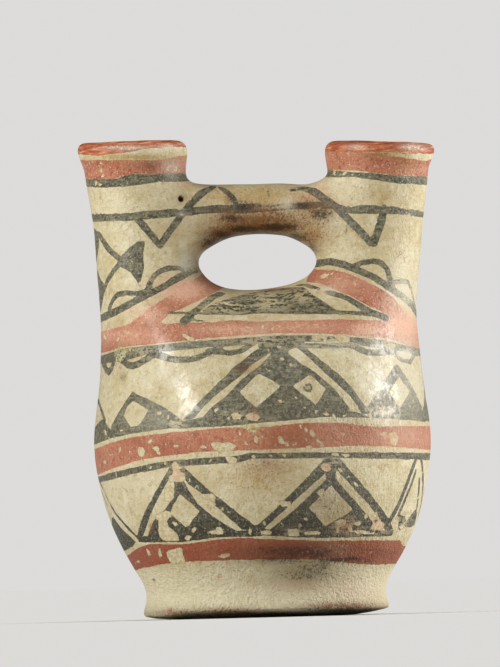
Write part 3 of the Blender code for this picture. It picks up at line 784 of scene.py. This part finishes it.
for outline in FLAKES:
    patch("worn", outline, paintable=front_skin)
for outline in CRUSTS:
    patch("crust", outline, paintable=front_skin)
for radius, spots in CHIPS.items():
    chip_off(radius, spots)
clouds = {kind: cloud(spots) for kind, spots in STAINS_AND_LIGHT.items()}
hole_depth = MM * (NAIL_HOLE_RADIUS - np.linalg.norm(places[front_skin] - nail_hole, axis=1))
put("hole", np.flatnonzero(front_skin), hole_depth)

# Inside the mouths: the orange of the lip was brushed over the rim and runs down a little way, and the clay
# below it was left bare.
LIP_INNER_DEPTH = 0.007
BARE_FADE = 0.04
LEFT_LIP_TOP, RIGHT_LIP_TOP = 0.2870, 0.2832

under_lip = np.where(places[:, 0] < 0.0, LEFT_LIP_TOP, RIGHT_LIP_TOP) - places[:, 2]
inner = np.flatnonzero(~outer)
put("lip", inner, MM * (LIP_INNER_DEPTH - under_lip[inner]))
bare = np.where(outer, 0.0, np.clip(under_lip / BARE_FADE, 0.0, 1.0))

# The worked surface: the belly and necks were built up by hand, so they heave a little. Flakes lie lower
# than the paint round them, a crust stands on it, gritty places are rough, and a nail-sized hole was pressed
# in beside the handle. The heaves have a size and a height, and the edges are depths in mm.
HEAVES = ((0.045, 0.00045), (0.016, 0.00018), (0.006, 0.00006))
GRIT_HEIGHT, GRIT_GRAIN, GRIT_SEED = 0.00016, 0.0028, 11
FLAKE_DEPTH, FLAKE_EDGE = 0.00016, (-0.3, 0.5)
CRUST_HEIGHT, CRUST_EDGE = 0.0006, (-0.6, 1.5)
CRUST_GRAIN, CRUST_SEED, CRUST_BODY = 0.0022, 7, 0.7
HOLE_DEPTH, HOLE_EDGE = 0.0026, (-0.4, 0.8)
FOOT_RISE = (0.0005, 0.006)
LATTICE = 32


def lattice_noise(points, cell, seed):
    """Smooth noise from -1 to 1: random values on a cubic lattice, blended between the eight corners."""
    table = np.random.default_rng(seed).uniform(-1.0, 1.0, (LATTICE, LATTICE, LATTICE))
    corner = np.floor(points / cell).astype(int)
    share = points / cell - corner
    share = share * share * (3.0 - 2.0 * share)
    total = np.zeros(len(points))
    for step in np.ndindex(2, 2, 2):
        weight = np.prod(np.where(step, share, 1.0 - share), axis=1)
        total += weight * table[tuple(((corner + step) % LATTICE).T)]
    return total


crumbs = CRUST_BODY + lattice_noise(places, CRUST_GRAIN, CRUST_SEED)
lift = sum(height * lattice_noise(places, cell, seed) for seed, (cell, height) in enumerate(HEAVES))
lift += GRIT_HEIGHT * clouds["grit"] * lattice_noise(places, GRIT_GRAIN, GRIT_SEED)
lift -= FLAKE_DEPTH * eased(channels["worn"], *FLAKE_EDGE)
lift += CRUST_HEIGHT * eased(channels["crust"], *CRUST_EDGE) * crumbs
lift -= HOLE_DEPTH * eased(channels["hole"], *HOLE_EDGE)
lift = np.where(outer, lift, 0.0) * eased(places[:, 2], *FOOT_RISE)
places = places + lift[:, None] * normals
places[:, 2] = np.maximum(places[:, 2], 0.0)
pot_mesh.vertices.foreach_set("co", places.astype(np.float32).ravel())
pot_mesh.shade_smooth()
pot_mesh.update()


def keep(name, *columns):
    """Keeps one or three columns of numbers for each point of the mesh."""
    kind, part = ("FLOAT", "value") if len(columns) == 1 else ("FLOAT_VECTOR", "vector")
    attribute = pot_mesh.attributes.new(name, kind, "POINT")
    attribute.data.foreach_set(part, np.stack(columns, axis=1).astype(np.float32).ravel())


keep("black_depth", channels["rings"], channels["strokes"], channels["fills"])
keep("red_depth", channels["red"], channels["lip"], channels["hole"])
keep("wear_depth", channels["worn"], channels["crust"], bare)
# The stain and wash columns hold painted light and shade as well as stains.
keep("stain_and_light", clouds["soot_and_shade"], clouds["rust_and_shade"], clouds["haze_and_glints"])
keep("wash_and_sheen", clouds["thin"], clouds["ochre_and_shade"], clouds["pink_and_sheen"])
keep("grit", clouds["grit"])

# The finish: cream slip with brick-red and soot-black earth paints, brushed on and fired with the clay. They
# are worn thin and crazed, under a thin varnish that still shines on the belly.
finish = bpy.data.materials.new("painted_clay")
finish.use_nodes = True
tree = finish.node_tree
surface = tree.nodes["Principled BSDF"]
object_space = tree.nodes.new("ShaderNodeTexCoord").outputs["Object"]


def tint(red, green, blue):
    """A colour given as 0 to 255 on a screen, made linear."""
    return tuple(((part / 255 + 0.055) / 1.055) ** 2.4 for part in (red, green, blue)) + (1.0,)


def feed(socket, value):
    """Gives a socket another node's output or a constant."""
    if isinstance(value, bpy.types.NodeSocket):
        tree.links.new(value, socket)
    else:
        socket.default_value = value


def node_with(kind, **inputs):
    """A new node with some of its inputs fed."""
    node = tree.nodes.new("ShaderNode" + kind)
    for name, value in inputs.items():
        feed(node.inputs[name.replace("_", " ")], value)
    return node


def reckon(operation, *values):
    """A Math node's result."""
    node = tree.nodes.new("ShaderNodeMath")
    node.operation = operation
    for socket, value in zip(node.inputs, values):
        feed(socket, value)
    return node.outputs[0]


def times(first, second):
    """The product of two values."""
    return reckon("MULTIPLY", first, second)


def scaled(value, factor, offset):
    """A value times a factor, and an offset more."""
    return reckon("MULTIPLY_ADD", value, factor, offset)


def greater(first, second):
    """The greater of two values."""
    return reckon("MAXIMUM", first, second)


def ramp(value, low, high, most=1.0, least=0.0):
    """A smooth step between two values, from the least to the most."""
    node = node_with("MapRange", Value=value, From_Min=low, From_Max=high, To_Min=least, To_Max=most)
    node.interpolation_type = "SMOOTHSTEP"
    return node.outputs["Result"]


def blend(share, under, over):
    """One colour laid over another."""
    node = tree.nodes.new("ShaderNodeMix")
    node.data_type = "RGBA"
    for number, value in ((0, share), (6, under), (7, over)):
        feed(node.inputs[number], value)
    return node.outputs[2]


def shaded(ground, *tones):
    """A ground colour with tones laid over it in turn, each a share and a colour."""
    paint = tint(*ground)
    for share, colour in tones:
        paint = blend(share, paint, tint(*colour))
    return paint


def grain(size, detail=3.0, roughness=0.55, stretch=(1.0, 1.0, 1.0), shift=0.0):
    """Noise with features of a size in metres, which may be drawn out along an axis."""
    scale = tuple(1.0 / (size * long) for long in stretch)
    place = (shift, 2.3 * shift, -1.7 * shift)
    spot = node_with("Mapping", Vector=object_space, Scale=scale, Location=place).outputs["Vector"]
    return node_with("TexNoise", Vector=spot, Scale=1.0, Detail=detail, Roughness=roughness).outputs["Fac"]


def crazing(size, bend):
    """The distance to the nearest crack of a net that noise bends, with meshes of a size in metres."""
    noise = node_with("TexNoise", Vector=object_space, Scale=1.0 / (1.5 * size)).outputs["Color"]
    bent = tree.nodes.new("ShaderNodeVectorMath")
    bent.operation = "MULTIPLY_ADD"
    for socket, value in zip(bent.inputs, (noise, (bend * size,) * 3, object_space)):
        feed(socket, value)
    spot = node_with("Mapping", Vector=bent.outputs[0], Scale=(1.0 / size,) * 3).outputs["Vector"]
    net = node_with("TexVoronoi", Vector=spot, Scale=1.0)
    net.feature = "DISTANCE_TO_EDGE"
    return net.outputs["Distance"]


def kept(name):
    """What is kept for each point under a name."""
    attribute = tree.nodes.new("ShaderNodeAttribute")
    attribute.attribute_name = name
    return attribute.outputs


def parts(vector):
    """The three numbers of a vector."""
    return node_with("SeparateXYZ", Vector=vector).outputs


rings, strokes, fills = parts(kept("black_depth")["Vector"])
red_bands, lip_paint, hole = parts(kept("red_depth")["Vector"])
flakes, crusts, bare_clay = parts(kept("wear_depth")["Vector"])
soot_and_shade, rust_and_shade, haze_and_glints = parts(kept("stain_and_light")["Vector"])
thin, ochre_and_shade, pink_and_sheen = parts(kept("wash_and_sheen")["Vector"])
grit = kept("grit")["Fac"]
above_floor = parts(object_space)["Z"]
low_down = ramp(above_floor, 0.115, 0.035)

broad = grain(0.034, detail=2.0)
middling = grain(0.009, detail=4.0, shift=3.1)
close = grain(0.0026, detail=4.0, roughness=0.6, shift=5.7)
specks = grain(0.0011, detail=2.0, shift=1.9)
upright = grain(0.0016, stretch=(1.0, 1.0, 5.0), shift=8.3)
level = grain(0.0014, stretch=(7.0, 7.0, 1.0), shift=4.9)
cracks = crazing(0.0052, bend=0.9)
waver = reckon("ADD", scaled(middling, 1.6, -0.8), scaled(close, 1.3, -0.65))
dabs = reckon("ADD", scaled(close, 1.1, -0.55), scaled(specks, 1.4, -0.7))


def brushed(depth, spread=0.14, unevenness=1.0):
    """How much of a paint lies at a point, from its depth inside the painted form and an uneven edge."""
    return ramp(scaled(waver, unevenness, depth), -spread, spread)


def laid(share, under, over):
    """A stain, wash, painted light or shade laid over a colour: a thin veil, and spots where it is thick."""
    veil = blend(times(share, 0.78), under, over)
    return blend(ramp(reckon("ADD", share, dabs), 0.48, 0.7, 0.55), veil, over)


# Each paint has its ground colour and the tones over it. The slip is palest just above the floor, partly
# painted light on the foot's upturned flare, and the red and the black are darkest low down, partly where
# less has rubbed off and partly painted shade under the belly.
slip = shaded(
    (220, 208, 170),
    (ramp(broad, 0.35, 0.65), (206, 191, 146)),
    (ramp(middling, 0.48, 0.72, 0.7), (234, 225, 194)),
    (ramp(middling, 0.44, 0.3, 0.6), (188, 164, 116)),
    (ramp(close, 0.55, 0.68, 0.45), (164, 144, 102)),
    (ramp(close, 0.44, 0.32, 0.5), (236, 228, 204)),
    (ramp(level, 0.58, 0.7, 0.35), (184, 166, 122)),
    (ramp(above_floor, 0.035, 0.025, 0.65), (242, 234, 200)),
    (ramp(specks, 0.62, 0.7, 0.35), (120, 94, 58)),
    (ramp(cracks, 0.03, 0.0, 0.12), (128, 104, 70)),
)
red = shaded(
    (192, 124, 92),
    (ramp(broad, 0.38, 0.62), (174, 98, 66)),
    (ramp(upright, 0.5, 0.72, 0.5), (206, 152, 120)),
    (ramp(close, 0.5, 0.34, 0.8), (146, 74, 46)),
    (times(low_down, 0.55), (142, 60, 30)),
    (times(ramp(specks, 0.6, 0.68), scaled(low_down, -0.5, 0.75)), (226, 196, 160)),
)
orange = shaded(
    (202, 112, 66),
    (ramp(level, 0.42, 0.6), (156, 70, 34)),
    (ramp(level, 0.42, 0.33, 0.8), (232, 186, 146)),
)
black = shaded(
    (72, 69, 53),
    (ramp(close, 0.38, 0.62), (122, 117, 92)),
    (ramp(level, 0.52, 0.68, 0.6), (150, 145, 114)),
    (ramp(specks, 0.42, 0.32, 0.5), (58, 53, 40)),
    (times(low_down, 0.8), (46, 42, 30)),
    (ramp(specks, 0.59, 0.67, 0.65), (182, 172, 136)),
)

# The pink wash, partly a painted highlight on the left arch and at the right of the belly.
painted = laid(pink_and_sheen, slip, tint(224, 174, 146))
painted = blend(brushed(red_bands), painted, laid(pink_and_sheen, red, tint(238, 190, 160)))
painted = blend(brushed(lip_paint), painted, orange)
# The ochre wash, partly painted shade on the bare stripes under the lips.
painted = laid(ochre_and_shade, painted, tint(184, 150, 86))

# The black covers least in the rubbed places, where it is streaked, and under the painted highlight at the
# right of the belly, and has pinholes all over.
coverage = greater(greater(brushed(rings), brushed(strokes)), brushed(fills))
streaks = times(thin, ramp(scaled(close, 0.5, times(level, 0.5)), 0.46, 0.52))
thinned = times(coverage, reckon("SUBTRACT", ramp(close, 0.74, 0.64), streaks))
painted = blend(greater(thinned, 0.0), painted, black)

# Where paint has flaked off, the slip is laid bare inside a dark edge, a painted shadow along the paint's
# step. The crusts are of lime.
gone = brushed(flakes, 0.2, 1.9)
laid_bare = shaded((226, 213, 176), (ramp(close, 0.4, 0.6), (204, 186, 142)))
painted = blend(gone, painted, laid(pink_and_sheen, laid_bare, tint(222, 176, 146)))
flake_edge_shadow = times(gone, reckon("SUBTRACT", 1.0, gone))
painted = blend(times(flake_edge_shadow, 2.0), painted, tint(92, 70, 46))
covered = times(brushed(crusts, 0.5, 2.0), ramp(specks, 0.42, 0.5))
painted = blend(covered, painted, shaded((220, 215, 180), (ramp(close, 0.42, 0.56), (190, 176, 112))))

# These also lay painted light: glints and highlights in the haze, and painted shade in the rust and the
# soot.
for stain_and_light, colour in ((haze_and_glints, (232, 225, 202)), (rust_and_shade, (142, 82, 28)), (soot_and_shade, (40, 24, 8))):
    painted = laid(stain_and_light, painted, tint(*colour))
painted = blend(times(grit, ramp(specks, 0.57, 0.65, 0.5)), painted, tint(92, 66, 36))
painted = blend(times(grit, ramp(close, 0.42, 0.34, 0.35)), painted, tint(226, 206, 172))
painted = blend(bare_clay, painted, shaded((150, 112, 78), (ramp(middling, 0.4, 0.6), (128, 92, 62))))
# The nail hole is painted near black inside: painted shade in its recess.
painted = blend(ramp(hole, -0.1, 0.5), painted, tint(30, 18, 10))
feed(surface.inputs["Base Color"], painted)

dull = greater(greater(gone, covered), bare_clay)
polish = reckon("SUBTRACT", ramp(middling, 0.3, 0.7, 0.58, least=0.42), times(brushed(lip_paint), 0.16))
feed(surface.inputs["Roughness"], greater(polish, times(greater(dull, low_down), 0.75)))

pitted = reckon("ADD", times(close, 0.7), times(specks, 0.4))
pitted = times(pitted, scaled(low_down, 1.3, scaled(grit, 3.0, 1.0)))
relief = reckon("ADD", pitted, ramp(cracks, 0.0, 0.05, 0.12))
bump = node_with("Bump", Strength=1.0, Distance=0.0009, Height=relief)
feed(surface.inputs["Normal"], bump.outputs["Normal"])

glaze = scaled(middling, 0.6, times(close, 0.4))
on_belly = times(ramp(above_floor, 0.108, 0.124), ramp(above_floor, 0.185, 0.150))
varnished = scaled(on_belly, ramp(glaze, 0.44, 0.57, 0.65, least=0.06), 0.05)
feed(surface.inputs["Coat Weight"], times(varnished, reckon("SUBTRACT", 1.0, dull)))
surface.inputs["Coat Roughness"].default_value = 0.2

pot_mesh.materials.clear()
pot_mesh.materials.append(finish)
pot = bpy.data.objects.new("painted_pot", pot_mesh)
bpy.context.scene.collection.objects.link(pot)
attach(pot, "root")
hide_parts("pot")

# The studio: a wide pale floor under a pale, even sky, and soft lights to the left, to the right and above.
# They light the pot alone, and a broad sun lights the floor alone, so that the floor stays even.
FLOOR_RADIUS = 40.0
FLOOR_RINGS = 12
FLOOR_SIDES = 96
OVERHEAD_STRENGTH = 2.6
OVERHEAD_ANGLE = 70.0
LIT_POINT = Vector((0.0, 0.0, 0.15))
LAMP_COLOUR = (1.0, 0.985, 0.95)
SKY_SEEN = 0.72
SKY_LIGHT = 0.13


def floor_disc():
    """A flat disc of rings whose radii grow as the square of their number."""
    ring, side = np.meshgrid(np.arange(1, FLOOR_RINGS + 1), np.arange(FLOOR_SIDES), indexing="ij")
    reach = FLOOR_RADIUS * (ring / FLOOR_RINGS) ** 2
    turn = 2.0 * math.pi * side / FLOOR_SIDES
    circles = np.stack((reach * np.cos(turn), reach * np.sin(turn), np.zeros(reach.shape)), axis=2)
    points = np.vstack((np.zeros((1, 3)), circles.reshape(-1, 3)))
    around = (side + 1) % FLOOR_SIDES
    here, there = 1 + (ring - 1) * FLOOR_SIDES + side, 1 + (ring - 1) * FLOOR_SIDES + around
    middle = np.stack((np.zeros(FLOOR_SIDES, dtype=int), here[0], there[0]), axis=1)
    quads = np.stack((here[:-1], here[1:], there[1:], there[:-1]), axis=2).reshape(-1, 4)
    mesh = bpy.data.meshes.new("floor_disc")
    mesh.from_pydata(points.tolist(), [], middle.tolist() + quads.tolist())
    return mesh


floor = bpy.data.objects.new("floor_disc", floor_disc())
bpy.context.scene.collection.objects.link(floor)
paper = bpy.data.materials.new("pale_paper")
paper.use_nodes = True
sheet = paper.node_tree.nodes["Principled BSDF"]
sheet.inputs["Base Color"].default_value = (0.78, 0.77, 0.75, 1.0)
sheet.inputs["Roughness"].default_value = 0.9
floor.data.materials.append(paper)


def lit_group(name, thing):
    """A group of one object, to which a light can be kept."""
    group = bpy.data.collections.new(name)
    group.objects.link(thing)
    return group


lit_pot = lit_group("lit_pot", pot)


def softbox(name, azimuth, elevation, distance, size, power, roll=0.0):
    """A soft light on the pot alone, which faces its middle from an azimuth, 0 at the front and 90 at the
    right. A roll leans its top to the left."""
    turn, rise = math.radians(azimuth), math.radians(elevation)
    way = Vector((math.sin(turn) * math.cos(rise), -math.cos(turn) * math.cos(rise), math.sin(rise)))
    light = bpy.data.objects.new(name, bpy.data.lights.new(name, "AREA"))
    light.data.shape = "RECTANGLE"
    light.data.size, light.data.size_y = size
    light.data.energy = power
    light.data.color = LAMP_COLOUR
    light.location = LIT_POINT + distance * way
    facing = way.to_track_quat("Z", "Y") @ Quaternion((0.0, 0.0, 1.0), math.radians(roll))
    light.rotation_euler = facing.to_euler()
    light.visible_camera = False
    light.light_linking.receiver_collection = lit_pot
    bpy.context.scene.collection.objects.link(light)


softbox("left_light", azimuth=-57.0, elevation=26.0, distance=2.0, size=(0.45, 0.9), power=27.0, roll=40.0)
softbox("right_light", azimuth=94.0, elevation=14.0, distance=2.0, size=(1.0, 1.0), power=37.0)
softbox("top_light", azimuth=20.0, elevation=62.0, distance=2.2, size=(0.9, 0.9), power=6.0)
overhead = bpy.data.objects.new("overhead", bpy.data.lights.new("overhead", "SUN"))
overhead.data.energy = OVERHEAD_STRENGTH
overhead.data.angle = math.radians(OVERHEAD_ANGLE)
overhead.light_linking.receiver_collection = lit_group("lit_floor", floor)
bpy.context.scene.collection.objects.link(overhead)

sky = bpy.data.worlds.new("sky")
sky.use_nodes = True
background = sky.node_tree.nodes["Background"]
background.inputs["Color"].default_value = (1.0, 0.99, 0.98, 1.0)
rays = sky.node_tree.nodes.new("ShaderNodeLightPath")
strength = sky.node_tree.nodes.new("ShaderNodeMapRange")
strength.inputs["To Min"].default_value = SKY_LIGHT
strength.inputs["To Max"].default_value = SKY_SEEN
sky.node_tree.links.new(rays.outputs["Is Camera Ray"], strength.inputs["Value"])
sky.node_tree.links.new(strength.outputs["Result"], background.inputs["Strength"])
bpy.context.scene.world = sky
bpy.context.scene.view_settings.view_transform = "Standard"
